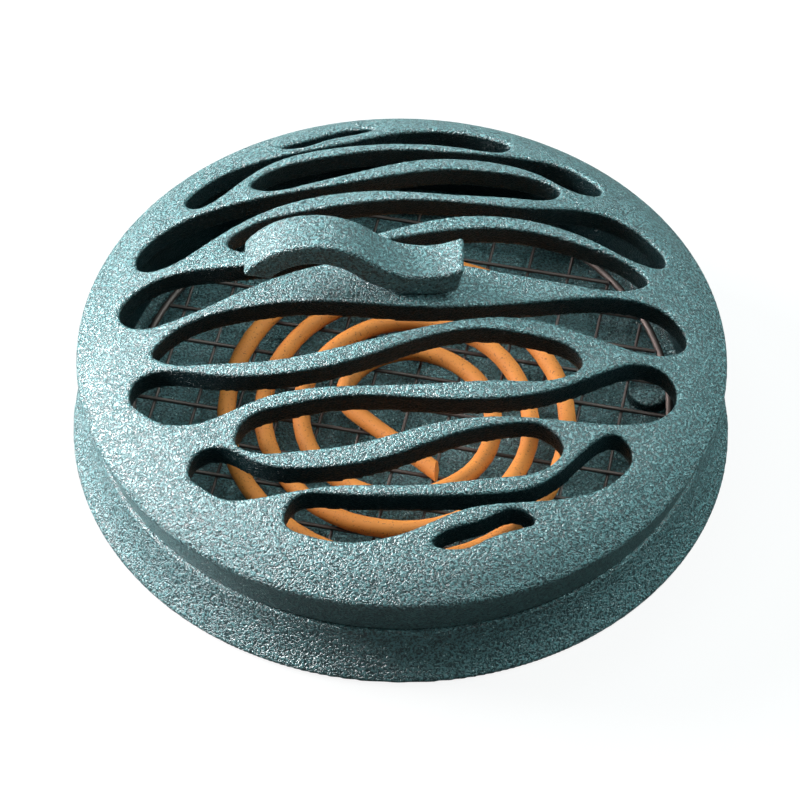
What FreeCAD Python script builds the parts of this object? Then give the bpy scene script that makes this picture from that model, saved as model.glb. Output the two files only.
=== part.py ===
import FreeCAD, Part
import math
import os

import Sketcher
from FreeCAD import Placement, Rotation, Vector

# Round covered burner for an incense coil.
# A low cast dish carries a wire screen on three posts, and the coil lies on the screen.
# A domed cast lid with wavy slots sits on the rim of the dish, with a wave-shaped handle screwed on top.
# Millimetres. The origin is at the middle of the underside, where the felt pads meet the table.
# +X runs to the right, +Y to the back and +Z up.

SIZES = [
    ("pad_proud", 0.2, "how far the felt pads stand below the dish"),
    ("pad_radius", 4.5, "felt pad"),
    ("pad_thickness", 1.0, "felt pad"),
    ("pad_inset", 9.8, "from the dish's outer edge at the table to the middle of each pad"),
    ("pad_fit", 0.2, "room round a pad in its recess"),
    ("base_height", 6.5, "cast dish, from its foot to its rim"),
    ("foot_flare", 1.0, "how far the dish reaches beyond the lid at the table"),
    ("foot_edge_height", 0.5, "upright edge round the dish's foot"),
    ("flare_radius", 11.0, "hollow curve of the dish's side"),
    ("rim_inset", 1.6, "how far the dish's rim stays inside the widest part of the lid"),
    ("base_wall", 1.6, "thickness of the dish's wall at the rim"),
    ("base_floor", 2.1, "thickness of the dish's floor"),
    ("floor_inset", 0.3, "how far the inside of the dish draws in from the rim to the floor"),
    ("base_cove", 1.6, "rounding where the floor meets the wall"),
    ("base_foot_round", 0.2, "rounding of the dish's lower outer edge"),
    ("rim_round", 0.35, "rounding of the rim's edges"),
    ("post_radius", 2.75, "cast post under the screen"),
    ("post_height", 1.9, "from the floor to the top of a post"),
    ("post_inset", 5.3, "from the edge of the floor to the middle of each post"),
    ("post_round", 0.5, "rounding of a post's top edge"),
    ("skirt_height", 6.8, "steep side of the lid, up to its shoulder"),
    ("lid_radius", 39.8, "lid, at its shoulder"),
    ("hem_inset", 2.0, "how far the lid draws in from there to its lower edge"),
    ("brow_width", 3.0, "sloping band between the shoulder and the dome, seen from above"),
    ("brow_height", 2.75, "from the shoulder up to the start of the dome"),
    ("brow_round", 13.0, "rounding between that band and the dome"),
    ("dome_rise", 9.65, "from the start of the dome to its top"),
    ("lid_wall", 3.0, "thickness of the dome"),
    ("shoulder_round", 0.8, "rounding between the sloping band and the steep side"),
    ("hem_round", 0.4, "rounding of the lid's lower outer edge"),
    ("spigot_depth", 1.7, "ring under the lid that drops inside the dish"),
    ("spigot_wall", 1.25, "thickness of that ring"),
    ("spigot_fit", 0.3, "room between that ring and the dish"),
    ("slot_margin", 0.5, "from the ring under the lid to the outermost point of the slots"),
    ("washer_boss_radius", 3.3, "flat under the dome for the washer"),
    ("handle_width", 5.4, "wave-shaped handle, front to back"),
    ("handle_thickness", 3.2, "wave-shaped handle"),
    ("handle_lift", 0.25, "from the top of the dome up to the handle's hollow"),
    ("crest_radius", 9.9, "top of the handle's crest"),
    ("crest_offset", 10.35, "crest, to the left of the axis"),
    ("trough_radius", 8.4, "top of the handle's hollow"),
    ("trough_offset", 2.2, "hollow, to the right of the axis"),
    ("handle_edge_round", 0.4, "rounding of the handle's edges"),
    ("handle_foot_radius", 2.45, "round foot under the handle"),
    ("handle_foot_height", 1.7, "round foot under the handle"),
    ("screw_radius", 1.2, "screw that holds the handle"),
    ("screw_bite", 2.3, "length of the screw inside the handle"),
    ("screw_end_room", 0.3, "hole beyond the end of the screw"),
    ("screw_head_radius", 2.2, "screw head"),
    ("screw_head_height", 1.3, "screw head"),
    ("screw_head_round", 0.45, "rounding of the screw head"),
    ("screw_slot_width", 0.6, "slot across the screw head"),
    ("screw_slot_depth", 0.6, "slot across the screw head"),
    ("thread_fit", 0.03, "room round the screw in the handle"),
    ("bore_fit", 0.15, "room round the screw in the lid and the washer"),
    ("washer_radius", 2.8, "washer"),
    ("washer_thickness", 0.5, "washer"),
    ("rest_gap", 0.1, "air between a round wire or stick and what it lies on"),
    ("screen_room", 2.65, "room between the ring wire round the screen and the edge of the floor"),
    ("rim_wire_radius", 0.45, "ring wire"),
    ("lower_wire_radius", 0.2, "wires of the screen's lower layer"),
    ("upper_wire_radius", 0.26, "wires of the screen's upper layer"),
    ("mesh_pitch", 5.16, "from one wire to the next"),
    ("weld_gap", 0.04, "from a wire's end to the ring wire"),
    ("upper_wire_shift", 3.31, "middle wire of the upper layer, from the axis"),
    ("lower_wire_shift", 3.87, "middle wire of the lower layer, from the axis"),
    ("stick_radius", 1.1, "incense stick that the coil is wound from"),
    ("coil_pitch", 4.55, "from one turn of the coil to the next"),
    ("coil_inner_radius", 8.9, "innermost turn of the coil, where its tail leaves it"),
    ("coil_middle_x", 0.65, "middle of the coil, to the right of the axis"),
    ("coil_middle_y", 4.75, "middle of the coil, in front of the axis"),
    ("tail_bend_radius", 4.5, "bend of the coil's inner tail"),
    ("tail_length", 13.5, "straight end of the coil's inner tail"),
]
VALUES = {name: value for name, value, meaning in SIZES}

PAD_COUNT = 4
POST_COUNT = 3
FIRST_POST_ANGLE = 4.5
MESH_ANGLE = -11.0

# Where the handle ends, as turns from level about the middles of its crest and its hollow.
# Both ends are cut slantwise, so that the top reaches further than the underside.
CREST_END_ANGLE = 28.0
CREST_UNDER_END_ANGLE = 38.0
HOLLOW_END_ANGLE = 52.0
HOLLOW_UNDER_END_ANGLE = 68.0

# The coil is a little longer than wide, and winds clockwise and outwards as seen from above.
COIL_LENGTH_SHARE = 1.095
COIL_START_ANGLE = 141.5
COIL_TURNS = 3.25
STEPS_PER_TURN = 4
TAIL_BEND_ANGLE = 79.0

# Heights, as sums of the sizes.
FOOT = "pad_proud"
FOOT_EDGE = FOOT + " + foot_edge_height"
FLOOR = FOOT + " + base_floor"
SEAM = FOOT + " + base_height"
SHOULDER = SEAM + " + skirt_height"
BROW = SHOULDER + " + brow_height"
APEX = BROW + " + dome_rise"
UNDERSIDE = APEX + " - lid_wall"
POST_TOP = FLOOR + " + post_height"

# Radii, all taken inwards or outwards from the lid's own.
HEM_RADIUS = "lid_radius - hem_inset"
BROW_RADIUS = "lid_radius - brow_width"
FOOT_RADIUS = "lid_radius + foot_flare"
RIM_RADIUS = "lid_radius - rim_inset"
RIM_INSIDE = RIM_RADIUS + " - base_wall"
FLOOR_RADIUS = RIM_INSIDE + " - floor_inset"
POST_CIRCLE = FLOOR_RADIUS + " - post_inset"
PAD_CIRCLE = FOOT_RADIUS + " - pad_inset"
RING_CIRCLE = FLOOR_RADIUS + " - screen_room - rim_wire_radius"
SPIGOT_RADIUS = RIM_INSIDE + " - spigot_fit"
SPIGOT_INSIDE = SPIGOT_RADIUS + " - spigot_wall"
SLOT_FIELD_RADIUS = SPIGOT_INSIDE + " - slot_margin"
SPIGOT_END = SEAM + " - spigot_depth"
BORE = "screw_radius + bore_fit"

# Outlines of six slots seen from above, in shares of the radius that the slots keep within.
# The other six are the same ones turned by half a turn about the axis.
# Each outline is one smooth closed curve, made in several lengths.
LENGTHS_PER_OUTLINE = 6
SLOT_EDGE_ROUND_SHARE = 0.0087
SLOT_OUTLINE_SHARES = {
    "outer": [
        (0.11, -0.965), (0.14, -0.94), (0.285, -0.885), (0.42, -0.845), (0.455, -0.87),
        (0.42, -0.89), (0.285, -0.945), (0.145, -0.98),
    ],
    "fifth": [
        (-0.385, -0.87), (-0.36, -0.825), (-0.225, -0.815), (0.065, -0.825), (0.285, -0.805),
        (0.47, -0.75), (0.605, -0.625), (0.675, -0.55), (0.74, -0.52), (0.785, -0.565),
        (0.745, -0.66), (0.62, -0.75), (0.41, -0.81), (0.2, -0.86), (0.04, -0.93), (-0.17, -0.965),
        (-0.325, -0.93),
    ],
    "fourth": [
        (-0.715, -0.665), (-0.69, -0.62), (-0.625, -0.61), (-0.495, -0.68), (-0.285, -0.725),
        (-0.055, -0.7), (0.18, -0.61), (0.375, -0.55), (0.49, -0.545), (0.55, -0.6), (0.505, -0.675),
        (0.33, -0.74), (0.065, -0.785), (-0.225, -0.785), (-0.46, -0.8), (-0.595, -0.785),
        (-0.68, -0.725),
    ],
    "third": [
        (-0.56, -0.585), (-0.535, -0.535), (-0.4, -0.495), (-0.17, -0.475), (0.075, -0.485),
        (0.295, -0.47), (0.49, -0.415), (0.71, -0.28), (0.835, -0.215), (0.915, -0.225),
        (0.95, -0.285), (0.915, -0.38), (0.815, -0.45), (0.64, -0.495), (0.35, -0.525),
        (0.12, -0.57), (-0.17, -0.65), (-0.375, -0.66), (-0.52, -0.635),
    ],
    "second": [
        (-0.935, -0.335), (-0.91, -0.28), (-0.845, -0.27), (-0.69, -0.32), (-0.445, -0.37),
        (-0.19, -0.345), (0.075, -0.245), (0.285, -0.19), (0.49, -0.195), (0.595, -0.225),
        (0.62, -0.265), (0.57, -0.33), (0.35, -0.39), (0.065, -0.43), (-0.225, -0.435),
        (-0.48, -0.455), (-0.69, -0.505), (-0.83, -0.465), (-0.91, -0.39),
    ],
    "inner": [
        (-0.86, -0.17), (-0.805, -0.12), (-0.575, -0.07), (-0.285, -0.08), (0.005, -0.115),
        (0.235, -0.1), (0.505, -0.03), (0.815, 0.065), (0.93, 0.05), (0.995, -0.055), (0.92, -0.14),
        (0.7, -0.155), (0.41, -0.125), (0.12, -0.185), (-0.17, -0.27), (-0.46, -0.31),
        (-0.69, -0.28), (-0.82, -0.235),
    ],
}


def measure(total):
    """Value of a sum of named sizes, such as "pad_proud + base_height"."""
    result = 0.0
    sign = 1
    for word in total.split():
        if word == "+":
            sign = 1
        elif word == "-":
            sign = -1
        elif word != "0":
            result += sign * VALUES[word]
    return result


def bound(total):
    """The same sum, as an expression that reads the spreadsheet."""
    return " ".join(word if word in ("+", "-", "0") else "sizes." + word for word in total.split())


def make_sheet(doc):
    sheet = doc.addObject("Spreadsheet::Sheet", "sizes")
    for row, (name, value, meaning) in enumerate(SIZES, start=1):
        sheet.set(f"A{row}", name)
        sheet.set(f"B{row}", str(value))
        sheet.set(f"C{row}", meaning)
        sheet.setAlias(f"B{row}", name)
    doc.recompute()


def origin_feature(body, role):
    return next(item for item in body.Origin.OriginFeatures if item.Role == role)


def new_sketch(body, name, role, height=None):
    """A sketch on one of the body's own planes, lifted by a sum of sizes if one is given."""
    sketch = body.newObject("Sketcher::SketchObject", name)
    sketch.AttachmentSupport = [(origin_feature(body, role), "")]
    sketch.MapMode = "FlatFace"
    if height:
        sketch.setExpression("AttachmentOffset.Base.z", bound(height))
    return sketch


def add_distance(sketch, kind, first, second, total):
    """A horizontal or upright distance from one point to another, bound to a sum of sizes."""
    index = sketch.addConstraint(Sketcher.Constraint(kind, *first, *second, measure(total)))
    sketch.setExpression(f"Constraints[{index}]", bound(total))


def add_radius(sketch, curve, total):
    index = sketch.addConstraint(Sketcher.Constraint("Radius", curve, measure(total)))
    sketch.setExpression(f"Constraints[{index}]", bound(total))


# How a sketch numbers its own axes and origin, and the points of a curve.
ACROSS_AXIS, UP_AXIS = range(-1, -3, -1)
START, END, CENTRE = range(1, 4)
ORIGIN_POINT = (ACROSS_AXIS, START)


def arc_on_axis(start, end):
    """Counter-clockwise arc through two points, with its centre on the upright axis."""
    height = (start.dot(start) - end.dot(end)) / (2 * (start.y - end.y))
    centre = Vector(0, height, 0)
    first, last = (point - centre for point in (start, end))
    circle = Part.Circle(centre, Vector(0, 0, 1), first.Length)
    return Part.ArcOfCircle(circle, math.atan2(first.y, first.x), math.atan2(last.y, last.x))


def hollow_arc(foot, top, radius):
    """Arc that runs counter-clockwise from top down to foot, with its centre outside the profile."""
    chord = top - foot
    outwards = Vector(chord.y, -chord.x, 0).normalize()
    centre = (foot + top) / 2 + outwards * math.sqrt(radius ** 2 - chord.dot(chord) / 4)
    first, last = (math.atan2(point.y, point.x) % (2 * math.pi) for point in (top - centre, foot - centre))
    return Part.ArcOfCircle(Part.Circle(centre, Vector(0, 0, 1), radius), first, last)


def add_profile(sketch, corners, dome_edges=(), free_heights=(), hollow_edges=None):
    """Closed outline whose corners are pairs of sums of sizes: the radius and the height.

    An edge in dome_edges is an arc with its centre on the axis. It runs clockwise where the
    next corner lies nearer to the right. A corner in free_heights gets its height from what
    is tied to it later, and its sum is only where it starts. An edge in hollow_edges is an
    arc that curves into the profile, with the radius given there.
    """
    hollow_edges = hollow_edges or {}
    spots = [Vector(measure(across), measure(up), 0) for across, up in corners]
    starts = []
    ends = []
    for index, spot in enumerate(spots):
        following = spots[(index + 1) % len(spots)]
        if index in hollow_edges:
            sketch.addGeometry(hollow_arc(spot, following, measure(hollow_edges[index])))
            starts.append((index, END))
            ends.append((index, START))
        elif index not in dome_edges:
            sketch.addGeometry(Part.LineSegment(spot, following))
            starts.append((index, START))
            ends.append((index, END))
        elif following.x > spot.x:
            sketch.addGeometry(arc_on_axis(following, spot))
            starts.append((index, END))
            ends.append((index, START))
        else:
            sketch.addGeometry(arc_on_axis(spot, following))
            starts.append((index, START))
            ends.append((index, END))
    for index in range(len(spots)):
        joined = starts[(index + 1) % len(spots)]
        sketch.addConstraint(Sketcher.Constraint("Coincident", *ends[index], *joined))
    for index in dome_edges:
        sketch.addConstraint(Sketcher.Constraint("PointOnObject", index, CENTRE, UP_AXIS))
    for index, (across, up) in enumerate(corners):
        if across == "0":
            sketch.addConstraint(Sketcher.Constraint("PointOnObject", *starts[index], UP_AXIS))
        else:
            add_distance(sketch, "DistanceX", ORIGIN_POINT, starts[index], across)
        if index not in free_heights:
            add_distance(sketch, "DistanceY", ORIGIN_POINT, starts[index], up)
    for index, radius in hollow_edges.items():
        add_radius(sketch, index, radius)


def revolve(body, sketch, name):
    feature = body.newObject("PartDesign::Revolution", name)
    feature.Profile = sketch
    feature.ReferenceAxis = (sketch, ["V_Axis"])
    feature.Angle = 360
    return feature


def circle_sketch(body, name, height, radius, reach="0"):
    """Circle on a level plane, with its centre on the X axis at the given reach."""
    sketch = new_sketch(body, name, "XY_Plane", height)
    centre = Vector(measure(reach), 0, 0)
    sketch.addGeometry(Part.Circle(centre, Vector(0, 0, 1), measure(radius)))
    add_radius(sketch, 0, radius)
    if reach == "0":
        sketch.addConstraint(Sketcher.Constraint("Coincident", 0, CENTRE, *ORIGIN_POINT))
    else:
        sketch.addConstraint(Sketcher.Constraint("PointOnObject", 0, CENTRE, ACROSS_AXIS))
        add_distance(sketch, "DistanceX", ORIGIN_POINT, (0, CENTRE), reach)
    return sketch


def extrude(body, sketch, name, length, kind="Pad", turned=False):
    feature = body.newObject("PartDesign::" + kind, name)
    feature.Profile = sketch
    feature.setExpression("Length", bound(length))
    feature.Reversed = turned
    return feature


def repeat_round(body, feature, name, count):
    pattern = body.newObject("PartDesign::PolarPattern", name)
    pattern.Originals = [feature]
    pattern.Axis = (origin_feature(body, "Z_Axis"), [""])
    pattern.Angle = 360
    pattern.Occurrences = count
    body.Tip = pattern
    return pattern


def ring_edges(shape, radius, height):
    """Names of the circular edges round the axis with the given radius and height."""
    found = []
    wanted = (measure(radius), measure(height))
    for number, edge in enumerate(shape.Edges, start=1):
        if isinstance(edge.Curve, Part.Circle):
            circle = edge.Curve
            size = (circle.Radius, circle.Center.z)
            on_axis = math.hypot(circle.Center.x, circle.Center.y) < Part.Precision.confusion()
            if on_axis and all(math.isclose(a, b, abs_tol=1e-4) for a, b in zip(size, wanted)):
                found.append(f"Edge{number}")
    return found


def sharp_edges(shape):
    """Names of the edges where two faces meet at a corner, not smoothly."""
    found = []
    for number, edge in enumerate(shape.Edges, start=1):
        faces = shape.ancestorsOfType(edge, Part.Face)
        if len(faces) == 2:
            middle = edge.valueAt((edge.FirstParameter + edge.LastParameter) / 2)
            first, second = (face.normalAt(*face.Surface.parameter(middle)) for face in faces)
            if first.getAngle(second) > math.radians(5):
                found.append(f"Edge{number}")
    return found


def round_edges(body, feature, name, edges, radius):
    fillet = body.newObject("PartDesign::Fillet", name)
    fillet.Base = (feature, edges)
    fillet.setExpression("Radius", bound(radius))
    return fillet


def new_body(doc, label):
    return doc.addObject("PartDesign::Body", label)


def make_base_dish(doc):
    """Cast dish: hollow flare outside, flat floor, three posts and four shallow recesses below."""
    body = new_body(doc, "base_dish")
    sketch = new_sketch(body, "dish_profile", "XZ_Plane")
    foot_edge = (FOOT_RADIUS, FOOT_EDGE)
    corners = [
        ("0", FOOT),
        (FOOT_RADIUS, FOOT),
        foot_edge,
        (RIM_RADIUS, SEAM),
        (RIM_INSIDE, SEAM),
        (FLOOR_RADIUS, FLOOR),
        ("0", FLOOR),
    ]
    add_profile(sketch, corners, hollow_edges={corners.index(foot_edge): "flare_radius"})
    dish = revolve(body, sketch, "dish")
    doc.recompute()
    foot = round_edges(body, dish, "foot_rounding",
                       ring_edges(dish.Shape, FOOT_RADIUS, FOOT), "base_foot_round")
    doc.recompute()
    cove = round_edges(body, foot, "floor_cove",
                       ring_edges(foot.Shape, FLOOR_RADIUS, FLOOR), "base_cove")
    doc.recompute()
    rim = ring_edges(cove.Shape, RIM_RADIUS, SEAM) + ring_edges(cove.Shape, RIM_INSIDE, SEAM)
    round_edges(body, cove, "rim_rounding", rim, "rim_round")
    doc.recompute()
    post_sketch = circle_sketch(body, "post_outline", FLOOR, "post_radius", POST_CIRCLE)
    post_sketch.AttachmentOffset = Placement(Vector(), Rotation(Vector(0, 0, 1), FIRST_POST_ANGLE))
    post_sketch.setExpression("AttachmentOffset.Base.z", bound(FLOOR))
    post = extrude(body, post_sketch, "post", "post_height")
    repeat_round(body, post, "posts", POST_COUNT)
    doc.recompute()
    tops = post_tops(body.Tip.Shape)
    round_edges(body, body.Tip, "post_rounding", tops, "post_round")
    recess_sketch = circle_sketch(body, "recess_outline", FOOT, "pad_radius + pad_fit", PAD_CIRCLE)
    recess_sketch.AttachmentOffset = Placement(Vector(), Rotation(Vector(0, 0, 1), pad_angle(0)))
    recess_sketch.setExpression("AttachmentOffset.Base.z", bound(FOOT))
    recess = extrude(body, recess_sketch, "recess", "pad_thickness - pad_proud", "Pocket", turned=True)
    repeat_round(body, recess, "recesses", PAD_COUNT)
    return body


def post_tops(shape):
    """Names of the round edges at the tops of the posts."""
    found = []
    for number, edge in enumerate(shape.Edges, start=1):
        if isinstance(edge.Curve, Part.Circle):
            same_height = math.isclose(edge.Curve.Center.z, measure(POST_TOP), abs_tol=1e-4)
            if same_height and math.isclose(edge.Curve.Radius, VALUES["post_radius"], abs_tol=1e-4):
                found.append(f"Edge{number}")
    return found


def pad_angle(index):
    return (index + 0.5) * 360 / PAD_COUNT


def make_foot_pad(doc, index):
    """Round felt pad, glued into its recess and standing a little proud of it."""
    pad = doc.addObject("Part::Cylinder", f"foot_pad_{index + 1}")
    pad.setExpression("Radius", bound("pad_radius"))
    pad.setExpression("Height", bound("pad_thickness"))
    pad.setExpression("Placement.Base.x", f"({bound(PAD_CIRCLE)}) * cos({pad_angle(index)})")
    pad.setExpression("Placement.Base.y", f"({bound(PAD_CIRCLE)}) * sin({pad_angle(index)})")
    return pad


def make_lid_blank(doc):
    """Turned form of the lid before the slots: dome, band, steep side, ring below and bore."""
    body = new_body(doc, "lid_blank")
    sketch = new_sketch(body, "lid_profile", "XZ_Plane")
    crown = (BORE, APEX)
    springing = (SPIGOT_INSIDE, SHOULDER)
    corners = [
        crown,
        (BROW_RADIUS, BROW),
        ("lid_radius", SHOULDER),
        (HEM_RADIUS, SEAM),
        (SPIGOT_RADIUS, SEAM),
        (SPIGOT_RADIUS, SPIGOT_END),
        (SPIGOT_INSIDE, SPIGOT_END),
        springing,
        ("washer_boss_radius", UNDERSIDE),
        (BORE, UNDERSIDE),
    ]
    outer_dome = corners.index(crown)
    inner_dome = corners.index(springing)
    add_profile(sketch, corners, dome_edges=(outer_dome, inner_dome), free_heights=(inner_dome,))
    sketch.addConstraint(Sketcher.Constraint("Horizontal", outer_dome, CENTRE, inner_dome, CENTRE))
    blank = revolve(body, sketch, "blank")
    doc.recompute()
    brow = round_edges(body, blank, "brow_rounding",
                       ring_edges(blank.Shape, BROW_RADIUS, BROW), "brow_round")
    doc.recompute()
    shoulder = round_edges(body, brow, "shoulder_rounding",
                           ring_edges(brow.Shape, "lid_radius", SHOULDER), "shoulder_round")
    doc.recompute()
    round_edges(body, shoulder, "hem_rounding",
                ring_edges(shoulder.Shape, HEM_RADIUS, SEAM), "hem_round")
    return body


def slot_cutter(outline_shares, side):
    """Upright solid with the outline of one slot, taller than the lid; side -1 is the turned one."""
    radius = side * measure(SLOT_FIELD_RADIUS)
    spots = [Vector(across * radius, back * radius, 0) for across, back in outline_shares]
    curve = Part.BSplineCurve()
    curve.interpolate(Points=spots, PeriodicFlag=True)
    knots = curve.getKnots()
    steps = len(knots) - 1
    cuts = [knots[round(steps * index / LENGTHS_PER_OUTLINE)] for index in range(LENGTHS_PER_OUTLINE + 1)]
    face = Part.Face(Part.Wire([curve.toShape(first, last) for first, last in zip(cuts, cuts[1:])]))
    return face.extrude(Vector(0, 0, measure(APEX + " + dome_rise")))


def make_slot_cutters(doc):
    """All twelve slots: the six outlines, and the same six turned by half a turn."""
    cutters = doc.addObject("Part::Feature", "slot_cutters")
    cutters.Shape = Part.Compound([
        slot_cutter(outline_shares, side)
        for outline_shares in SLOT_OUTLINE_SHARES.values()
        for side in (1, -1)
    ])
    return cutters


def slot_rims(shape):
    """Numbers of the slots' upper edges: free-form edges on the dome's outer face, inside the ring."""
    top = Vector(measure(BORE), 0, measure(APEX))
    foot = Vector(measure(BROW_RADIUS), 0, measure(BROW))
    height = (top.dot(top) - foot.dot(foot)) / (2 * (top.z - foot.z))
    centre = Vector(0, 0, height)
    radius = top.distanceToPoint(centre)
    found = []
    for number, edge in enumerate(shape.Edges, start=1):
        first, last = edge.FirstParameter, edge.LastParameter
        spots = [edge.valueAt(first + (last - first) * share) for share in (0.2, 0.5, 0.8)]
        on_dome = all(math.isclose(spot.distanceToPoint(centre), radius, abs_tol=1e-2) for spot in spots)
        inside = all(math.hypot(spot.x, spot.y) < measure(SPIGOT_INSIDE) for spot in spots)
        if on_dome and inside and not isinstance(edge.Curve, Part.Circle):
            found.append(number)
    return found


def make_lid_grille(doc):
    """Cast lid: the turned form with twelve slots through it and their upper edges rounded."""
    slotted = doc.addObject("Part::Cut", "slotted_lid")
    slotted.Base = make_lid_blank(doc)
    slotted.Tool = make_slot_cutters(doc)
    doc.recompute()
    grille = doc.addObject("Part::Fillet", "lid_grille")
    grille.Base = slotted
    rounding = SLOT_EDGE_ROUND_SHARE * measure(SLOT_FIELD_RADIUS)
    grille.Edges = [(number, rounding, rounding) for number in slot_rims(slotted.Shape)]
    return grille


def make_handle(doc):
    """Wave-shaped ribbon, crest on the left and hollow over the axis, with a round foot."""
    body = new_body(doc, "lid_handle")
    sketch = new_sketch(body, "ribbon_profile", "XZ_Plane")
    add_ribbon_outline(sketch)
    ribbon = extrude(body, sketch, "ribbon", "handle_width")
    ribbon.Midplane = True
    doc.recompute()
    round_edges(body, ribbon, "ribbon_rounding", sharp_edges(ribbon.Shape), "handle_edge_round")
    foot = circle_sketch(body, "foot_outline", APEX, "handle_foot_radius")
    extrude(body, foot, "foot", "handle_foot_height")
    hole = circle_sketch(body, "hole_outline", APEX, "screw_radius + thread_fit")
    extrude(body, hole, "screw_hole", "screw_bite + screw_end_room", "Pocket", turned=True)
    return body


def add_ribbon_outline(sketch):
    """Two pairs of concentric arcs that meet smoothly, closed by a slanted cut at each end."""
    thickness = VALUES["handle_thickness"]
    crest_top = VALUES["crest_radius"]
    hollow_top = VALUES["trough_radius"]
    hollow_height = APEX + " + handle_lift + handle_thickness + trough_radius"
    hollow = Vector(VALUES["trough_offset"], measure(hollow_height), 0)
    span = VALUES["trough_offset"] + VALUES["crest_offset"]
    drop = math.sqrt((crest_top + hollow_top) ** 2 - span ** 2)
    crest = hollow - Vector(span, drop, 0)
    slope = math.atan2(drop, span)
    turned_slope = slope - math.pi

    def arc(centre, radius, first, last):
        return Part.ArcOfCircle(Part.Circle(centre, Vector(0, 0, 1), radius), first, math.radians(last))

    crest_over, crest_under, hollow_over, hollow_under, left_cut, right_cut = range(6)
    arcs = [
        arc(crest, crest_top, slope, 180 - CREST_END_ANGLE),
        arc(crest, crest_top - thickness, slope, 180 - CREST_UNDER_END_ANGLE),
        arc(hollow, hollow_top, turned_slope, -HOLLOW_END_ANGLE),
        arc(hollow, hollow_top + thickness, turned_slope, -HOLLOW_UNDER_END_ANGLE),
    ]
    sketch.addGeometry(arcs)
    sketch.addGeometry(Part.LineSegment(arcs[crest_over].EndPoint, arcs[crest_under].EndPoint))
    sketch.addGeometry(Part.LineSegment(arcs[hollow_over].EndPoint, arcs[hollow_under].EndPoint))
    ties = [
        ("Coincident", crest_over, CENTRE, crest_under, CENTRE),
        ("Coincident", hollow_over, CENTRE, hollow_under, CENTRE),
        ("Tangent", crest_over, START, hollow_over, START),
        ("Tangent", crest_under, START, hollow_under, START),
        ("Coincident", crest_over, END, left_cut, START),
        ("Coincident", crest_under, END, left_cut, END),
        ("Coincident", hollow_over, END, right_cut, START),
        ("Coincident", hollow_under, END, right_cut, END),
    ]
    for tie in ties:
        sketch.addConstraint(Sketcher.Constraint(*tie))
    add_distance(sketch, "DistanceX", (crest_over, CENTRE), ORIGIN_POINT, "crest_offset")
    add_distance(sketch, "DistanceX", ORIGIN_POINT, (hollow_over, CENTRE), "trough_offset")
    add_distance(sketch, "DistanceY", ORIGIN_POINT, (hollow_over, CENTRE), hollow_height)
    add_radius(sketch, crest_over, "crest_radius")
    add_radius(sketch, hollow_over, "trough_radius")
    add_radius(sketch, hollow_under, "trough_radius + handle_thickness")
    middle, end = (crest_over, CENTRE), (crest_over, END)
    add_reach(sketch, end, middle, "crest_radius", CREST_END_ANGLE)
    end = (crest_under, END)
    add_reach(sketch, end, middle, "crest_radius - handle_thickness", CREST_UNDER_END_ANGLE)
    middle, end = (hollow_over, CENTRE), (hollow_over, END)
    add_reach(sketch, middle, end, "trough_radius", HOLLOW_END_ANGLE)
    end = (hollow_under, END)
    add_reach(sketch, middle, end, "trough_radius + handle_thickness", HOLLOW_UNDER_END_ANGLE)


def add_reach(sketch, left, right, radius, angle):
    """Horizontal distance from an arc's middle to its end, bound to its radius and a fixed angle."""
    reach = measure(radius) * math.cos(math.radians(angle))
    index = sketch.addConstraint(Sketcher.Constraint("DistanceX", *left, *right, reach))
    sketch.setExpression(f"Constraints[{index}]", f"({bound(radius)}) * cos({angle})")


def make_washer(doc):
    body = new_body(doc, "handle_washer")
    sketch = new_sketch(body, "washer_profile", "XZ_Plane")
    add_profile(sketch, [
        (BORE, UNDERSIDE + " - washer_thickness"),
        ("washer_radius", UNDERSIDE + " - washer_thickness"),
        ("washer_radius", UNDERSIDE),
        (BORE, UNDERSIDE),
    ])
    revolve(body, sketch, "washer")
    return body


def make_screw(doc):
    """Slotted screw, put in from below through the washer and the lid into the handle."""
    body = new_body(doc, "handle_screw")
    seat = UNDERSIDE + " - washer_thickness"
    head_end = seat + " - screw_head_height"
    sketch = new_sketch(body, "screw_profile", "XZ_Plane")
    add_profile(sketch, [
        ("0", head_end),
        ("screw_head_radius", head_end),
        ("screw_head_radius", seat),
        ("screw_radius", seat),
        ("screw_radius", APEX + " + screw_bite"),
        ("0", APEX + " + screw_bite"),
    ])
    turned = revolve(body, sketch, "turned")
    doc.recompute()
    round_edges(body, turned, "head_rounding",
                ring_edges(turned.Shape, "screw_head_radius", head_end), "screw_head_round")
    slot = new_sketch(body, "driver_slot_outline", "XY_Plane", head_end)
    half_width = VALUES["screw_slot_width"] / 2
    reach = VALUES["screw_head_radius"]
    corners = [(-reach, -half_width), (reach, -half_width), (reach, half_width), (-reach, half_width)]
    for index, (across, back) in enumerate(corners):
        following = corners[(index + 1) % len(corners)]
        slot.addGeometry(Part.LineSegment(Vector(across, back, 0), Vector(*following, 0)))
    lower, right, upper, left = range(4)
    for first, second in ((lower, right), (right, upper), (upper, left), (left, lower)):
        slot.addConstraint(Sketcher.Constraint("Coincident", first, END, second, START))
    for level in (lower, upper):
        slot.addConstraint(Sketcher.Constraint("Horizontal", level))
    for upright in (left, right):
        slot.addConstraint(Sketcher.Constraint("Vertical", upright))
    slot.addConstraint(Sketcher.Constraint("Symmetric", lower, START, upper, START, *ORIGIN_POINT))
    add_distance(slot, "DistanceY", (lower, START), (upper, END), "screw_slot_width")
    add_distance(slot, "DistanceX", (lower, START), (lower, END), "screw_head_radius + screw_head_radius")
    extrude(body, slot, "driver_slot", "screw_slot_depth", "Pocket", turned=True)
    return body


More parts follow.
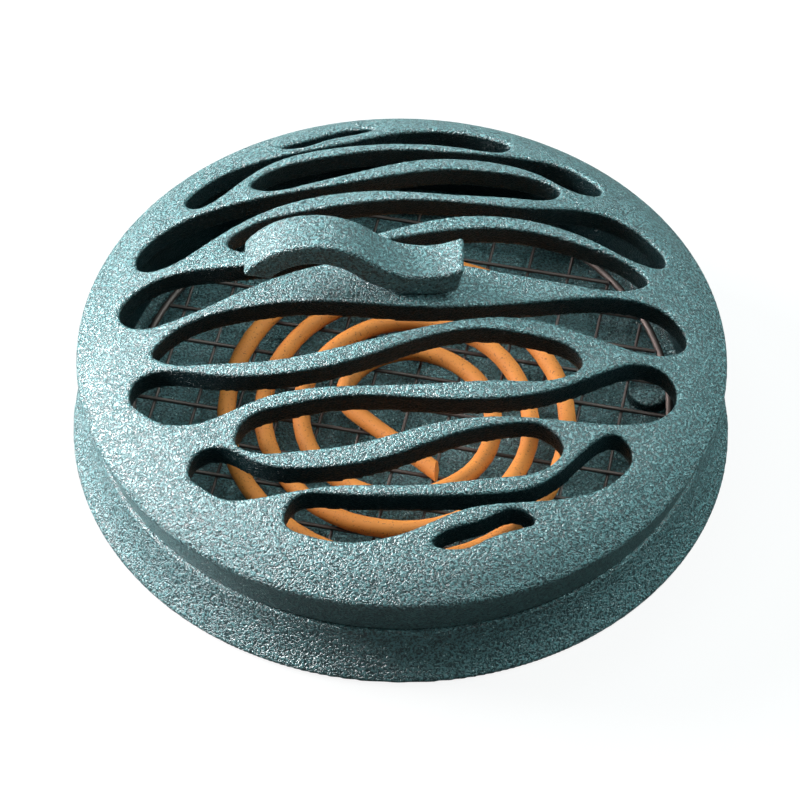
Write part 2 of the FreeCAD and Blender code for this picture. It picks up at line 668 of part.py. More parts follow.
def make_rim_wire(doc):
    """Ring wire round the screen, lying on the three posts."""
    ring = doc.addObject("Part::Torus", "screen_rim")
    ring.setExpression("Radius1", bound(RING_CIRCLE))
    ring.setExpression("Radius2", bound("rim_wire_radius"))
    ring.setExpression("Placement.Base.z", bound(POST_TOP + " + rest_gap + rim_wire_radius"))
    return ring


def make_screen_wires(doc, label, wire_radius, height, shift, turned):
    """One layer of the screen: parallel wires, each as long as the ring leaves room for."""
    radius = VALUES[wire_radius]
    pitch = VALUES["mesh_pitch"]
    inside = measure(RING_CIRCLE + " - rim_wire_radius - weld_gap")
    count = int(inside / pitch) + 1
    wires = []
    for index in range(-count, count + 1):
        offset = VALUES[shift] + index * pitch
        furthest = abs(offset) + radius
        if furthest < inside:
            half = math.sqrt(inside ** 2 - furthest ** 2)
            if half > pitch:
                wires.append(Part.makeCylinder(radius, 2 * half, Vector(-half, offset, 0), Vector(1, 0, 0)))
    layer = doc.addObject("Part::Feature", label)
    layer.Shape = Part.Compound(wires)
    layer.Placement = Placement(Vector(0, 0, measure(height)), Rotation(Vector(0, 0, 1), turned))
    return layer


def coil_point(turn):
    """Point of the coil's centre line after so many turns, and its direction of travel."""
    radius = VALUES["coil_inner_radius"] + VALUES["coil_pitch"] * turn
    angle = math.radians(COIL_START_ANGLE) - 2 * math.pi * turn
    growth = -VALUES["coil_pitch"] / (2 * math.pi)
    middle = Vector(VALUES["coil_middle_x"], -VALUES["coil_middle_y"], measure(COIL_HEIGHT))
    across, back = math.cos(angle), COIL_LENGTH_SHARE * math.sin(angle)
    spot = middle + Vector(radius * across, radius * back, 0)
    backwards = Vector(
        growth * across - radius * math.sin(angle),
        growth * back + radius * COIL_LENGTH_SHARE * math.cos(angle),
        0,
    )
    return spot, -backwards.normalize()


def arc_from(start, heading, end):
    """Arc that leaves start in the given direction and reaches end."""
    side = Vector(-heading.y, heading.x, 0)
    chord = end - start
    reach = chord.dot(chord) / (2 * chord.dot(side))
    centre = start + side * reach
    towards = ((start + end) / 2 - centre).normalize()
    return Part.Arc(start, centre + towards * abs(reach), end)


def biarc(start, heading, end, arrival):
    """Two arcs that join start to end smoothly, with the given directions at both ends."""
    chord = end - start
    both = heading + arrival
    spread = 2 * (1 - heading.dot(arrival))
    along = chord.dot(both)
    step = (math.sqrt(along ** 2 + spread * chord.dot(chord)) - along) / spread
    middle = (start + end + (heading - arrival) * step) / 2
    passing = (end - start - both * step).normalize()
    return [arc_from(start, heading, middle), arc_from(middle, passing, end)]


def coil_path():
    """Centre line of the coil as arcs: straight tail, bend, then the turns."""
    turns = [index / STEPS_PER_TURN for index in range(round(COIL_TURNS * STEPS_PER_TURN) + 1)]
    start, heading = coil_point(0)
    bend = VALUES["tail_bend_radius"]
    side = Vector(heading.y, -heading.x, 0)
    centre = start + side * bend
    swing = Rotation(Vector(0, 0, 1), TAIL_BEND_ANGLE)
    half_swing = Rotation(Vector(0, 0, 1), TAIL_BEND_ANGLE / 2)
    bend_start = centre - swing.multVec(side) * bend
    bend_middle = centre - half_swing.multVec(side) * bend
    tail_heading = swing.multVec(heading)
    tail_end = bend_start - tail_heading * VALUES["tail_length"]
    curves = [Part.LineSegment(tail_end, bend_start), Part.Arc(bend_start, bend_middle, start)]
    for first, last in zip(turns, turns[1:]):
        curves += biarc(*coil_point(first), *coil_point(last))
    return curves, tail_end, tail_heading


def least_gap(curves, thickness):
    """Least distance between parts of the tube that lie more than a few widths apart along it."""
    spots = []
    travelled = 0.0
    for curve in curves:
        edge = curve.toShape()
        for share in (0.0, 0.25, 0.5, 0.75):
            first, last = edge.FirstParameter, edge.LastParameter
            spots.append((travelled + share * edge.Length, edge.valueAt(first + (last - first) * share)))
        travelled += edge.Length
    nearest = min(
        one.distanceToPoint(other)
        for index, (place, one) in enumerate(spots)
        for far_place, other in spots[index + 1:]
        if far_place - place > 4 * thickness
    )
    return nearest - thickness


COIL_HEIGHT = POST_TOP + (" + rest_gap + lower_wire_radius + lower_wire_radius"
                          " + upper_wire_radius + upper_wire_radius + rest_gap + stick_radius")


def make_incense_coil(doc):
    """Coil of pressed incense, one unbroken stick wound flat, with blunt ends."""
    curves, tail_end, tail_heading = coil_path()
    thickness = 2 * VALUES["stick_radius"]
    print("coil: least gap between turns", round(least_gap(curves, thickness), 2), "mm")
    print("coil: length", round(sum(curve.length() for curve in curves)), "mm")
    spine = Part.Wire(Part.__sortEdges__([curve.toShape() for curve in curves]))
    section = Part.Wire(Part.makeCircle(VALUES["stick_radius"], tail_end, tail_heading))
    maker = Part.BRepOffsetAPI.MakePipeShell(spine)
    maker.add(section)
    maker.build()
    maker.makeSolid()
    coil = doc.addObject("Part::Feature", "incense_coil")
    coil.Shape = maker.shape()
    return coil


def check_document(doc, parts):
    for item in doc.Objects:
        if "Invalid" in item.State or "Error" in item.State:
            raise RuntimeError(f"{item.Label} did not build: {item.State}")
    for part in parts:
        if part.Shape.isNull() or not part.Shape.isValid() or not part.Shape.Solids:
            raise RuntimeError(f"{part.Label} has no sound solid")


def main():
    doc = FreeCAD.newDocument("incense_burner")
    make_sheet(doc)
    lower_axis = POST_TOP + " + rest_gap + lower_wire_radius"
    upper_axis = lower_axis + " + lower_wire_radius + upper_wire_radius"
    parts = [make_base_dish(doc)]
    parts += [make_foot_pad(doc, index) for index in range(PAD_COUNT)]
    parts += [
        make_lid_grille(doc),
        make_handle(doc),
        make_washer(doc),
        make_screw(doc),
        make_rim_wire(doc),
        make_screen_wires(doc, "screen_lower_wires", "lower_wire_radius", lower_axis,
                          "lower_wire_shift", MESH_ANGLE + 90),
        make_screen_wires(doc, "screen_upper_wires", "upper_wire_radius", upper_axis,
                          "upper_wire_shift", MESH_ANGLE),
        make_incense_coil(doc),
    ]
    doc.recompute()
    check_document(doc, parts)
    os.makedirs("parts", exist_ok=True)
    for part in parts:
        box = part.Shape.BoundBox
        print(part.Label, len(part.Shape.Solids), "solids", round(part.Shape.Volume, 2), "mm3",
              [round(v, 2) for v in (box.XMin, box.YMin, box.ZMin, box.XMax, box.YMax, box.ZMax)])
        part.Shape.exportStep(f"parts/{part.Label}.step")


main()
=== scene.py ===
# %% [markdown]
# # A covered burner for a coil of incense
#
# The burner is a low cast dish with a domed cast lid. Wavy slots let the scent out, and through them one
# sees a wire screen with a coil of incense on it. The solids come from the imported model, which is the
# fixed frame here. This lesson sets the camera and the light, gives every solid its finish, and makes
# finer pieces where a solid is plainer than the real one.

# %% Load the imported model
import math

import bpy
from mathutils import Matrix, Vector


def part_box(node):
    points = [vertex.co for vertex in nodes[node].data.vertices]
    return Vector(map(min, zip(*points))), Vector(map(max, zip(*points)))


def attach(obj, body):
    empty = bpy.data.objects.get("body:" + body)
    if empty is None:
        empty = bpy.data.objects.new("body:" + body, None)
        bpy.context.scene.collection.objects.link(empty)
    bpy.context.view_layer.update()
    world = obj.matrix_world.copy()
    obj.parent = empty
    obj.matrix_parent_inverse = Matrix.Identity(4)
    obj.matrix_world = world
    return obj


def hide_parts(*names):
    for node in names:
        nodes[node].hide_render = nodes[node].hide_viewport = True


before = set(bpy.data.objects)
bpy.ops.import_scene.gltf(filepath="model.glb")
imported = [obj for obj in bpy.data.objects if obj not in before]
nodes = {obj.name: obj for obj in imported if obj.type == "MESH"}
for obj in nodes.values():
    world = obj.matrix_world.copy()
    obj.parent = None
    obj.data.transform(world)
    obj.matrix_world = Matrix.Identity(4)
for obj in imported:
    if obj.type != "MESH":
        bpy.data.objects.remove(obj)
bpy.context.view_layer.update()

print("nodes:", sorted(nodes))

# %% [markdown]
# ## Small helpers
#
# Sizes are thought of in millimetres and written in metres, so one factor turns them. Colours are picked
# as sRGB hex values, as in any paint program, and Blender's shaders want them linear.

# %% Millimetres, colours and nodes
MM = 0.001


def linear(hex_colour):
    """sRGB hex such as "4d6a6c" as linear red, green, blue and full opacity."""
    parts = [int(hex_colour[i:i + 2], 16) / 255 for i in (0, 2, 4)]
    return [p / 12.92 if p <= 0.04045 else ((p + 0.055) / 1.055) ** 2.4 for p in parts] + [1.0]


def add_node(tree, kind, inputs=None, **settings):
    """Adds a node, gives it its settings, and fills or links the inputs that are named."""
    node = tree.nodes.new(kind)
    for name, value in settings.items():
        setattr(node, name, value)
    for name, value in (inputs or {}).items():
        if isinstance(value, bpy.types.NodeSocket):
            tree.links.new(value, node.inputs[name])
        else:
            node.inputs[name].default_value = value
    return node


def new_material(name):
    """Empty node material, with its tree."""
    material = bpy.data.materials.new(name)
    material.use_nodes = True
    material.node_tree.nodes.clear()
    return material, material.node_tree


def dress(piece, material):
    """Gives a piece one material all over."""
    piece.data.materials.clear()
    piece.data.materials.append(material)


print("helpers are ready")

# %% [markdown]
# ## The camera
#
# The picture looks down on the burner at 49 degrees from straight in front, from 444 mm away. The lens is
# long for that distance: 163 mm on a 36 mm sensor. The camera is also rolled a little, under one degree.
# Its three axes are written as the columns of a matrix, which leaves no doubt about the roll.

# %% Camera
DISTANCE = 443.79  # millimetres
SENSOR = 36
PICTURE_DOTS = 800
LENS_DOTS = 3621.4

elevation = math.radians(49.241)
roll = math.radians(0.818)
look_at = Vector((-0.148, -3.516, 8.0)) * MM
back = Vector((0, -math.cos(elevation), math.sin(elevation)))
level_up = Vector((0, math.sin(elevation), math.cos(elevation)))
level_right = Vector((1, 0, 0))
right = level_right * math.cos(roll) + level_up * math.sin(roll)
up = level_up * math.cos(roll) - level_right * math.sin(roll)

bpy.ops.object.camera_add()
camera = bpy.context.object
camera.name = "camera"
camera.data.sensor_width = SENSOR
camera.data.lens = SENSOR * LENS_DOTS / PICTURE_DOTS
camera.data.clip_start = 0.01
camera.matrix_world = Matrix.Translation(look_at + back * DISTANCE * MM) @ Matrix(
    (right, up, back)).transposed().to_4x4()
bpy.context.scene.camera = camera
print("camera at", [round(v, 4) for v in camera.location], "lens", round(camera.data.lens, 1))

# %% [markdown]
# ## Floor and world
#
# The burner stands on a white table. The camera sees the table close to pure white, with a faint shadow on
# it, while the light that the table throws back at the burner stays weak. All around is dark, as in a
# studio hung with black cloth, so the slots' walls and the inside of the dish stay dark. One plane makes the
# table. Its material asks what kind of ray has met it: for the camera it is mostly a plain white glow with a
# share of paper that keeps the shadow, and for any other ray it is dark grey paper.

# %% Floor
GLOW_SHARE = 0.88


def any_ray(tree, *kinds):
    """1 for a ray of one of the named kinds, 0 for any other."""
    path = add_node(tree, "ShaderNodeLightPath")
    answer = path.outputs[kinds[0]]
    for kind in kinds[1:]:
        answer = add_node(tree, "ShaderNodeMath", {0: answer, 1: path.outputs[kind]},
                          operation="MAXIMUM").outputs[0]
    return answer


bpy.ops.mesh.primitive_plane_add(size=4, location=(0, 0, 0))
floor = bpy.context.object
floor.name = "floor"
white, tree = new_material("white_table")
seen = any_ray(tree, "Is Camera Ray", "Is Transmission Ray")
share = add_node(tree, "ShaderNodeMath", {0: seen, 1: GLOW_SHARE}, operation="MULTIPLY")
tone = add_node(tree, "ShaderNodeMix", {"Factor": seen, "A": linear("585a5a"), "B": linear("c8c8c8")},
                data_type="RGBA")
paper = add_node(tree, "ShaderNodeBsdfDiffuse", {"Color": tone.outputs["Result"]})
glow = add_node(tree, "ShaderNodeEmission", {"Color": linear("ffffff"), "Strength": 1.0})
mixed = add_node(tree, "ShaderNodeMixShader", {0: share.outputs[0], 1: paper.outputs[0], 2: glow.outputs[0]})
add_node(tree, "ShaderNodeOutputMaterial", {"Surface": mixed.outputs[0]})
dress(floor, white)
print("the floor is ready:", round(GLOW_SHARE * 100), "percent white glow to the camera")

# %% [markdown]
# The world answers in the same way: plain white behind the table for the camera, and nearly dark for all else.
# The view transform is set to Standard, so a colour comes out about as it was picked.

# %% World
SURROUND_LIGHT = 0.05

bpy.context.scene.view_settings.view_transform = "Standard"
world = bpy.data.worlds.new("studio")
bpy.context.scene.world = world
world.use_nodes = True
tree = world.node_tree
tree.nodes.clear()
surround = add_node(tree, "ShaderNodeBackground", {"Color": linear("dcebee"), "Strength": SURROUND_LIGHT})
blank = add_node(tree, "ShaderNodeBackground", {"Color": linear("ffffff"), "Strength": 1.0})
seen = any_ray(tree, "Is Camera Ray", "Is Transmission Ray")
both = add_node(tree, "ShaderNodeMixShader", {0: seen, 1: surround.outputs[0], 2: blank.outputs[0]})
add_node(tree, "ShaderNodeOutputWorld", {"Surface": both.outputs[0]})
print("the world is ready, view transform:", bpy.context.scene.view_settings.view_transform)

# %% [markdown]
# ## Lamps
#
# The highlights say where the light stands. The left of the dome is nearly white and the right of it stays
# teal, the slot walls that face the camera are almost black, and the handle's end throws its shadow to the
# right. So the main light is a large soft window at the left and a little behind, only 20 degrees above the
# table, so that it glances off the left of the dome. Weak lamps fill in. Three hang high, at the left, behind
# and at the right, where the gloss of the dome mirrors them; one stands lower, behind at the right; and one
# over the front keeps the front of the dish from going black.

# %% Lamps
def soft_lamp(name, place, aim, size, watts, colour):
    """Square area lamp at a place in millimetres, turned to a point in millimetres."""
    bpy.ops.object.light_add(type="AREA", location=Vector(place) * MM)
    lamp = bpy.context.object
    lamp.name = name
    lamp.data.shape = "SQUARE"
    lamp.data.size = size * MM
    lamp.data.energy = watts
    lamp.data.color = linear(colour)[:3]
    lamp.rotation_euler = (Vector(aim) * MM - lamp.location).to_track_quat("-Z", "Y").to_euler()


soft_lamp("window", (-480, 160, 200), (0, 0, 10), 260, 13.4, "ffffff")
soft_lamp("high_left", (-160, 120, 450), (0, 0, 10), 220, 0.8, "e2f8f8")
soft_lamp("high_back", (60, 240, 370), (0, 0, 10), 160, 0.5, "e2f8f8")
soft_lamp("right_back", (360, 240, 260), (0, 0, 10), 260, 0.95, "d8f4f4")
soft_lamp("right_over", (240, 40, 390), (0, 0, 10), 160, 1.5, "e2f8f8")
soft_lamp("front_over", (60, -200, 420), (0, 0, 10), 200, 0.6, "d8f4f4")

# %% [markdown]
# ## Powder coat
#
# The castings carry a powder coat in dark teal. As it is baked, it draws up into short wrinkles under half
# a millimetre apart, with flat tops and steep sides, and each catches the light on one side. They could be
# modelled, but that would take millions of faces. So the relief is a noise pattern, bent a little and made
# steeper, with a fine grit in it, and is put on as bump further down. The valleys are painted darker than
# the tops, as painted shade in the wrinkles' hollows. Real grit is finer than a dot of the picture, so it is
# drawn as coarse as it has to be to show.

# %% Wrinkles and their colour
WRINKLE = 0.29 * MM
GRIT = 0.17 * MM
GRIT_SHARE = 0.8

coat, tree = new_material("powder_coat_teal")
where = add_node(tree, "ShaderNodeTexCoord")
place = where.outputs["Object"]
wrinkles = add_node(tree, "ShaderNodeTexNoise",
                    {"Vector": place, "Scale": 1 / WRINKLE, "Detail": 1.0, "Roughness": 0.5,
                     "Distortion": 0.8})
grit = add_node(tree, "ShaderNodeTexNoise",
                {"Vector": place, "Scale": 1 / GRIT, "Detail": 1.0, "Roughness": 0.5})
tops = add_node(tree, "ShaderNodeMapRange",
                {"Value": wrinkles.outputs["Fac"], "From Min": 0.36, "From Max": 0.64},
                interpolation_type="SMOOTHSTEP")
relief = add_node(tree, "ShaderNodeMath", {0: grit.outputs["Fac"], 1: GRIT_SHARE, 2: tops.outputs[0]},
                  operation="MULTIPLY_ADD")
# Painted shade: the colour runs from near-black teal in the wrinkles' valleys to lighter teal on their tops.
teal_with_valley_shade = add_node(tree, "ShaderNodeMix", {"Factor": tops.outputs[0], "A": linear("1b3033"),
                                        "B": linear("587f82")}, data_type="RGBA")
print("wrinkles", round(WRINKLE / MM, 2), "mm apart, grit of", round(GRIT / MM, 2), "mm")

# %% [markdown]
# Single bright specks are painted into the colour as glints, standing in for the glitter of fine mica in the
# powder. A Voronoi pattern cuts the surface into cells and gives each a colour at random. The red of that
# colour picks about one cell in seven, and the distance to the cell's middle keeps the speck smaller than its
# cell.

# %% Painted glints standing in for mica
FLAKE = 0.32 * MM

flakes = add_node(tree, "ShaderNodeTexVoronoi", {"Vector": place, "Scale": 1 / FLAKE})
chosen = add_node(tree, "ShaderNodeSeparateColor", {"Color": flakes.outputs["Color"]})
bright = add_node(tree, "ShaderNodeMapRange",
                  {"Value": chosen.outputs["Red"], "From Min": 0.86, "From Max": 1.0})
near = add_node(tree, "ShaderNodeMapRange",
                {"Value": flakes.outputs["Distance"], "From Min": 0.34, "From Max": 0.12})
glint_speck = add_node(tree, "ShaderNodeMath", {0: bright.outputs[0], 1: near.outputs[0]}, operation="MULTIPLY")
# Painted glints: pale specks mixed into the colour, bright under any lamp.
with_painted_glints = add_node(tree, "ShaderNodeMix", {"Factor": glint_speck.outputs[0], "A": teal_with_valley_shade.outputs["Result"],
                                           "B": linear("d2e4e4")}, data_type="RGBA")
print("specks of up to", round(FLAKE / MM, 2), "mm")

# %% [markdown]
# The slots' walls lie in shade, and that shade is painted into their colour as nearly black teal. All castings
# share one material, so the walls are found by place: steep faces, inside the ring that the slots lie in, and
# lower than the handle's foot.

# %% Painted shade on the slots' walls
SLOTS_WITHIN = 35.5 * MM
HANDLE_FOOT = 25.9 * MM

facing = add_node(tree, "ShaderNodeSeparateXYZ", {"Vector": where.outputs["Normal"]})
steep = add_node(tree, "ShaderNodeMapRange",
                 {"Value": facing.outputs["Z"], "From Min": 0.75, "From Max": 0.15})
flat_place = add_node(tree, "ShaderNodeVectorMath", {0: place, 1: (1, 1, 0)}, operation="MULTIPLY")
reach = add_node(tree, "ShaderNodeVectorMath", {0: flat_place.outputs[0]}, operation="LENGTH")
within = add_node(tree, "ShaderNodeMath", {0: reach.outputs["Value"], 1: SLOTS_WITHIN}, operation="LESS_THAN")
height = add_node(tree, "ShaderNodeSeparateXYZ", {"Vector": place})
below = add_node(tree, "ShaderNodeMath", {0: height.outputs["Z"], 1: HANDLE_FOOT}, operation="LESS_THAN")
inside = add_node(tree, "ShaderNodeMath", {0: within.outputs[0], 1: below.outputs[0]}, operation="MULTIPLY")
painted_wall_shade = add_node(tree, "ShaderNodeMath", {0: inside.outputs[0], 1: steep.outputs[0]}, operation="MULTIPLY")
# Painted shade: the slots' walls are mixed towards near-black teal.
colour = add_node(tree, "ShaderNodeMix", {"Factor": painted_wall_shade.outputs[0], "A": with_painted_glints.outputs["Result"],
                                          "B": linear("081f22")}, data_type="RGBA")
print("thin coat within", round(SLOTS_WITHIN / MM, 1), "mm of the middle")

# %% [markdown]
# The cured coat is a hard gloss, so the small highlights on the wrinkles matter as much as its colour. The
# gloss varies from patch to patch, as a coat that was dusted on by hand does, and it is turned down on the
# slots' walls, where the shade is painted.

# %% Gloss and relief
PATCH = 9 * MM
RELIEF = 0.13 * MM

patches = add_node(tree, "ShaderNodeTexNoise",
                   {"Vector": place, "Scale": 1 / PATCH, "Detail": 2.0, "Roughness": 0.5})
worn = add_node(tree, "ShaderNodeMapRange",
                {"Value": patches.outputs["Fac"], "To Min": 0.24, "To Max": 0.36})
gloss = add_node(tree, "ShaderNodeMapRange", {"Value": painted_wall_shade.outputs[0], "To Min": 0.95, "To Max": 0.2})
bump = add_node(tree, "ShaderNodeBump",
                {"Height": relief.outputs[0], "Strength": 1.0, "Distance": RELIEF})
shader = add_node(tree, "ShaderNodeBsdfPrincipled",
                  {"Base Color": colour.outputs["Result"], "Roughness": worn.outputs[0],
                   "Normal": bump.outputs[0], "IOR": 1.5,
                   "Specular IOR Level": gloss.outputs[0]})
add_node(tree, "ShaderNodeOutputMaterial", {"Surface": shader.outputs[0]})
print("powder coat is ready,", len(tree.nodes), "nodes")

# %% [markdown]
# ## The three coated castings
#
# A coat this thick blunts every edge of a casting and lies on it a little unevenly, which shows along the
# slots' rims and the rim of the dish. The solids are crisper than that, so each casting gets a finer copy.
# The copy is turned into even cells about a quarter of a millimetre wide and smoothed for three rounds, which
# blunts an edge and leaves the broad forms alone. Then a cloud pattern moves its surface in and out by a few
# hundredths of a millimetre. Remeshing suits this better than bevelling, because it doesn't depend on how
# the solid was cut into faces. The handle is small and gets finer cells. Last, flat places give up faces that
# they don't need, until a piece is under 200,000 triangles.

# %% A helper for a coated casting
MERGE = 0.002 * MM
ROUNDS = 3
UNEVEN_WIDTH = 0.8 * MM

uneven = bpy.data.textures.new("uneven_coat", "CLOUDS")
uneven.noise_scale = UNEVEN_WIDTH
uneven.noise_depth = 1


def coated_copy(node, cell, depth, most_faces):
    """Even, smoothed and slightly uneven copy of a casting, in place of its solid, with the coat on it."""
    bpy.ops.object.select_all(action="DESELECT")
    node.select_set(True)
    bpy.context.view_layer.objects.active = node
    bpy.ops.object.duplicate()
    piece = bpy.context.object
    piece.name = node.name + "_coated"
    bpy.ops.object.mode_set(mode="EDIT")
    bpy.ops.mesh.select_all(action="SELECT")
    bpy.ops.mesh.remove_doubles(threshold=MERGE)
    bpy.ops.mesh.normals_make_consistent(inside=False)
    bpy.ops.object.mode_set(mode="OBJECT")
    remesh = piece.modifiers.new("cells", "REMESH")
    remesh.mode = "VOXEL"
    remesh.voxel_size = cell
    bpy.ops.object.modifier_apply(modifier=remesh.name)
    smooth = piece.modifiers.new("blunt", "SMOOTH")
    smooth.factor = 0.5
    smooth.iterations = ROUNDS
    bpy.ops.object.modifier_apply(modifier=smooth.name)
    lie = piece.modifiers.new("uneven", "DISPLACE")
    lie.texture = uneven
    lie.texture_coords = "LOCAL"
    lie.strength = depth
    lie.mid_level = 0.5
    bpy.ops.object.modifier_apply(modifier=lie.name)
    fewer = piece.modifiers.new("fewer", "DECIMATE")
    fewer.ratio = min(1, most_faces / (2 * len(piece.data.polygons)))
    bpy.ops.object.modifier_apply(modifier=fewer.name)
    bpy.ops.object.shade_smooth()
    dress(piece, coat)
    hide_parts(node.name)
    return piece


print("uneven coat:", round(UNEVEN_WIDTH / MM, 1), "mm from lump to lump")

# %% The dish, the lid and the handle
castings = [  # node, body, cell, depth of the unevenness, most triangles
    ("base_dish", "base", 0.27 * MM, 0.03 * MM, 190000),
    ("lid_grille", "lid", 0.26 * MM, 0.04 * MM, 195000),
    ("lid_handle", "lid", 0.16 * MM, 0.05 * MM, 70000),
]
for name, body, cell, depth, most_faces in castings:
    piece = coated_copy(nodes[name], cell, depth, most_faces)
    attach(piece, body)
    print(piece.name, len(piece.data.polygons), "faces on", body)

# %% [markdown]
# ## Drawn steel wire
#
# The screen is drawn steel wire, dulled by heat to a warm grey. Fine lines run along a drawn wire, but
# they are far too fine to show, so only its colour and gloss vary, in clouds about four millimetres wide. The
# solids are round wires already, so they keep their own shape.

# %% Wire
HEAT_CLOUD = 4 * MM

wire, tree = new_material("drawn_steel_wire")
place = add_node(tree, "ShaderNodeTexCoord").outputs["Object"]
heat = add_node(tree, "ShaderNodeTexNoise", {"Vector": place, "Scale": 1 / HEAT_CLOUD, "Detail": 3.0})
tint = add_node(tree, "ShaderNodeMix", {"Factor": heat.outputs["Fac"], "A": linear("4a4240"),
                                        "B": linear("7c6e6a")}, data_type="RGBA")
dull = add_node(tree, "ShaderNodeMapRange", {"Value": heat.outputs["Fac"], "To Min": 0.68, "To Max": 0.5})
shader = add_node(tree, "ShaderNodeBsdfPrincipled",
                  {"Base Color": tint.outputs["Result"], "Metallic": 1.0, "Roughness": dull.outputs[0]})
add_node(tree, "ShaderNodeOutputMaterial", {"Surface": shader.outputs[0]})
for name in ("screen_rim", "screen_lower_wires", "screen_upper_wires"):
    dress(nodes[name], wire)
print("wire is on the screen's three pieces")

# %% [markdown]
# ## Zinc plating
#
# The screw and its washer sit inside the lid. Small bought fixings are zinc plated: a bright, slightly bluish
# grey, with a faint cloudiness where the crystals of zinc lie differently.

# %% Zinc
ZINC_CLOUD = 1.5 * MM

zinc, tree = new_material("zinc_plated_steel")
place = add_node(tree, "ShaderNodeTexCoord").outputs["Object"]
cloud = add_node(tree, "ShaderNodeTexNoise", {"Vector": place, "Scale": 1 / ZINC_CLOUD, "Detail": 3.0})
tint = add_node(tree, "ShaderNodeMix", {"Factor": cloud.outputs["Fac"], "A": linear("9ba0a4"),
                                        "B": linear("d3d6d8")}, data_type="RGBA")
dull = add_node(tree, "ShaderNodeMapRange", {"Value": cloud.outputs["Fac"], "To Min": 0.28, "To Max": 0.42})
shader = add_node(tree, "ShaderNodeBsdfPrincipled",
                  {"Base Color": tint.outputs["Result"], "Metallic": 1.0, "Roughness": dull.outputs[0]})
add_node(tree, "ShaderNodeOutputMaterial", {"Surface": shader.outputs[0]})
for name in ("handle_screw", "handle_washer"):
    dress(nodes[name], zinc)
print("zinc is on the screw and the washer")

# %% [markdown]
# ## Pressed felt
#
# The four pads under the dish are pressed felt, a mat of short black fibres. Strong distortion draws the noise
# out into short threads, and a little sheen gives the soft edge that fibres have.

# %% Felt
FIBRE = 0.5 * MM

felt, tree = new_material("pressed_felt")
place = add_node(tree, "ShaderNodeTexCoord").outputs["Object"]
fibres = add_node(tree, "ShaderNodeTexNoise", {"Vector": place, "Scale": 1 / FIBRE, "Detail": 5.0,
                                               "Roughness": 0.7, "Distortion": 1.5})
tint = add_node(tree, "ShaderNodeMix", {"Factor": fibres.outputs["Fac"], "A": linear("141416"),
                                        "B": linear("3a3a3e")}, data_type="RGBA")
bump = add_node(tree, "ShaderNodeBump",
                {"Height": fibres.outputs["Fac"], "Strength": 0.7, "Distance": 0.1 * MM})
shader = add_node(tree, "ShaderNodeBsdfPrincipled",
                  {"Base Color": tint.outputs["Result"], "Roughness": 0.95, "Sheen Weight": 0.4,
                   "Normal": bump.outputs[0]})
add_node(tree, "ShaderNodeOutputMaterial", {"Surface": shader.outputs[0]})
for number in range(1, 5):
    dress(nodes[f"foot_pad_{number}"], felt)
print("felt is on the four pads")

# %% [markdown]
# ## Pressed incense
#
# A coil of incense is wood powder and resin pressed through a round die while wet, and wound before it
# dries. It is matt orange-brown with darker and lighter grains of powder a tenth of a millimetre across,
# which are drawn coarser here so that they show.

# %% Incense
TINT_CLOUD = 3.5 * MM
GRAIN = 0.3 * MM

incense, tree = new_material("pressed_incense_powder")
place = add_node(tree, "ShaderNodeTexCoord").outputs["Object"]
cloud = add_node(tree, "ShaderNodeTexNoise", {"Vector": place, "Scale": 1 / TINT_CLOUD, "Detail": 2.0})
grains = add_node(tree, "ShaderNodeTexNoise", {"Vector": place, "Scale": 1 / GRAIN, "Detail": 3.0,
                                               "Roughness": 0.7})
base = add_node(tree, "ShaderNodeMix", {"Factor": cloud.outputs["Fac"], "A": linear("be6c29"),
                                        "B": linear("dd8838")}, data_type="RGBA")
dark = add_node(tree, "ShaderNodeMapRange",
                {"Value": grains.outputs["Fac"], "From Min": 0.42, "From Max": 0.3})
tint = add_node(tree, "ShaderNodeMix", {"Factor": dark.outputs[0], "A": base.outputs["Result"],
                                        "B": linear("6e3c1c")}, data_type="RGBA")
bump = add_node(tree, "ShaderNodeBump",
                {"Height": grains.outputs["Fac"], "Strength": 0.35, "Distance": 0.08 * MM})
shader = add_node(tree, "ShaderNodeBsdfPrincipled",
                  {"Base Color": tint.outputs["Result"], "Roughness": 0.72, "Normal": bump.outputs[0]})
add_node(tree, "ShaderNodeOutputMaterial", {"Surface": shader.outputs[0]})
print("incense is ready, grains drawn", round(GRAIN / MM, 1), "mm wide")

# %% [markdown]
# ## The coil
#
# The real coil is one wet stick, wound flat on a tray round a former: its radius grows by the same amount
# each turn, and it comes out a little longer than wide. The inner end is bent over to the middle, where it
# was cut off slantwise, and the outer end is cut off straight. So its middle line follows the same formula
# as the solid's: a straight tail, an arc for the bend, then points along the turns. The stick is never quite
# even, so its line wavers by a tenth of a millimetre at most.

# %% Middle line of the coil
STICK = 1.1 * MM
PITCH = 4.55 * MM
INNER = 8.9 * MM
MIDDLE = Vector((0.65, -4.75, 0)) * MM
LENGTHENED = 1.095
START = math.radians(141.5)
TURNS = 3.25
BEND = 4.5 * MM
BEND_ANGLE = math.radians(79)
TAIL = 13.5 * MM
STEPS_PER_TURN = 48
STEPS_IN_BEND = 12
STEPS_IN_TAIL = 10

low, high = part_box("incense_coil")
level = (low[2] + high[2]) / 2


def on_spiral(turn):
    """Point of the coil's middle line after so many turns."""
    radius = INNER + PITCH * turn
    angle = START - 2 * math.pi * turn
    return MIDDLE + Vector((radius * math.cos(angle), radius * LENGTHENED * math.sin(angle), level))


def waver(step, size):
    """Slow uneven wave, at most the given size."""
    return size * (math.sin(step * 0.37) + math.sin(step * 0.83 + 1.3)) / 2


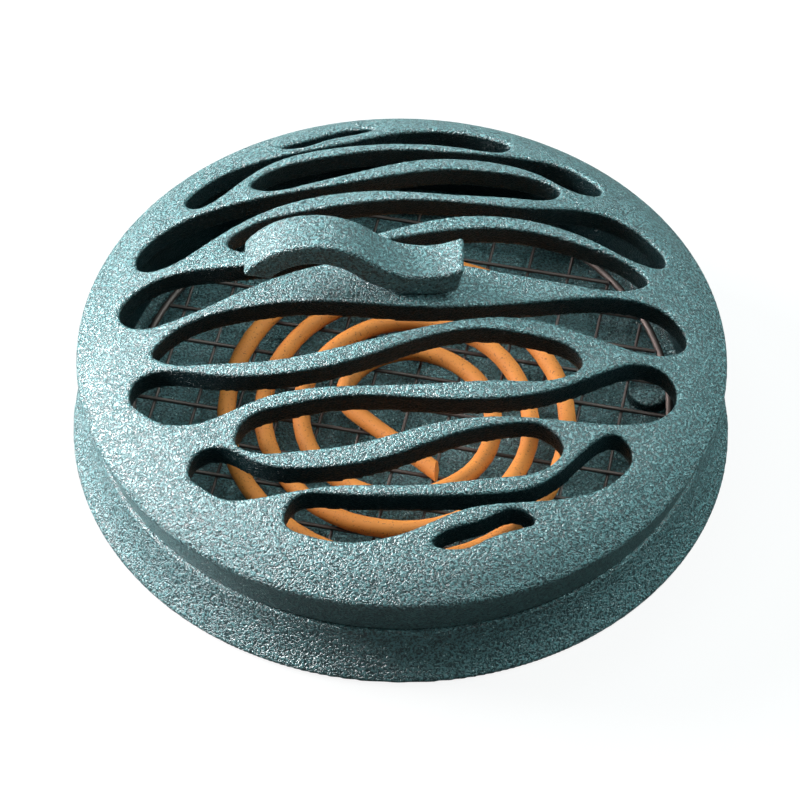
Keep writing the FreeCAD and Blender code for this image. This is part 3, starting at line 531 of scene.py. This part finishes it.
first = on_spiral(0)
heading = (on_spiral(0.001) - first).normalized()
aside = Vector((heading.y, -heading.x, 0))
bend_middle = first + aside * BEND
spots = []
for step in range(STEPS_IN_BEND + 1):
    swing = Matrix.Rotation(BEND_ANGLE * (1 - step / STEPS_IN_BEND), 3, "Z")
    spots.append(bend_middle - (swing @ aside) * BEND)
tail_heading = Matrix.Rotation(BEND_ANGLE, 3, "Z") @ heading
tail_end = spots[0] - tail_heading * TAIL
beyond = tail_end - tail_heading * STICK
spots = [beyond.lerp(spots[0], step / STEPS_IN_TAIL) for step in range(STEPS_IN_TAIL)] + spots
for step in range(1, round(TURNS * STEPS_PER_TURN) + 1):
    spot = on_spiral(step / STEPS_PER_TURN)
    outwards = (spot - MIDDLE).normalized()
    spots.append(spot + Vector((outwards.x, outwards.y, 0)) * waver(step, 0.12 * MM))
length = sum((after - before).length for before, after in zip(spots, spots[1:]))
print("middle line:", len(spots), "points,", round((length - STICK) / MM), "mm long once its end is cut")

# %% [markdown]
# A curve with a round bevel turns that line into a stick of even roundness, and each point's radius lets the
# thickness waver too. The curve is then made a mesh.

# %% Stick of the coil
line = bpy.data.curves.new("incense_stick", "CURVE")
line.dimensions = "3D"
line.bevel_depth = STICK
line.bevel_resolution = 7
line.use_fill_caps = True
path = line.splines.new("POLY")
path.points.add(len(spots) - 1)
for step, (point, spot) in enumerate(zip(path.points, spots)):
    point.co = (*spot, 1)
    point.radius = 1 + waver(step * 1.7, 0.035)
coil = bpy.data.objects.new("incense_stick", line)
bpy.context.collection.objects.link(coil)
bpy.ops.object.select_all(action="DESELECT")
coil.select_set(True)
bpy.context.view_layer.objects.active = coil
bpy.ops.object.convert(target="MESH")
print("stick:", len(coil.data.polygons), "faces")

# %% [markdown]
# The line was begun one stick's radius beyond the tail's end, and a slanted plane cuts that off. Only the
# tail may be cut, and the first turn passes close to it. So a face is selected where all its corners lie
# one radius away from the tail's own line and near its end.

# %% Slanted cut at the inner end
SLANT = Vector((0.974, -0.147, 0.17)).normalized()
SLACK = 0.06 * STICK
CUT_REACH = 3 * STICK


def on_tail(corner):
    """Whether a point lies on the side of the tail's last few millimetres."""
    reach = corner - beyond
    along = reach.dot(tail_heading)
    off_line = (reach - tail_heading * along).length
    return abs(off_line - STICK) < SLACK and -2 * SLACK < along < CUT_REACH


bpy.ops.object.mode_set(mode="EDIT")
bpy.ops.mesh.select_all(action="DESELECT")
bpy.ops.object.mode_set(mode="OBJECT")
for face in coil.data.polygons:
    face.select = all(on_tail(coil.data.vertices[corner].co) for corner in face.vertices)
bpy.ops.object.mode_set(mode="EDIT")
bpy.ops.mesh.bisect(plane_co=tail_end, plane_no=SLANT, use_fill=True, clear_outer=True)
bpy.ops.mesh.select_all(action="SELECT")
bpy.ops.mesh.remove_doubles(threshold=MERGE)
bpy.ops.mesh.normals_make_consistent(inside=False)
bpy.ops.object.mode_set(mode="OBJECT")
bpy.ops.object.shade_smooth_by_angle(angle=math.radians(40))
dress(coil, incense)
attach(coil, "coil")
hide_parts("incense_coil")
print("coil:", len(coil.data.polygons), "faces")
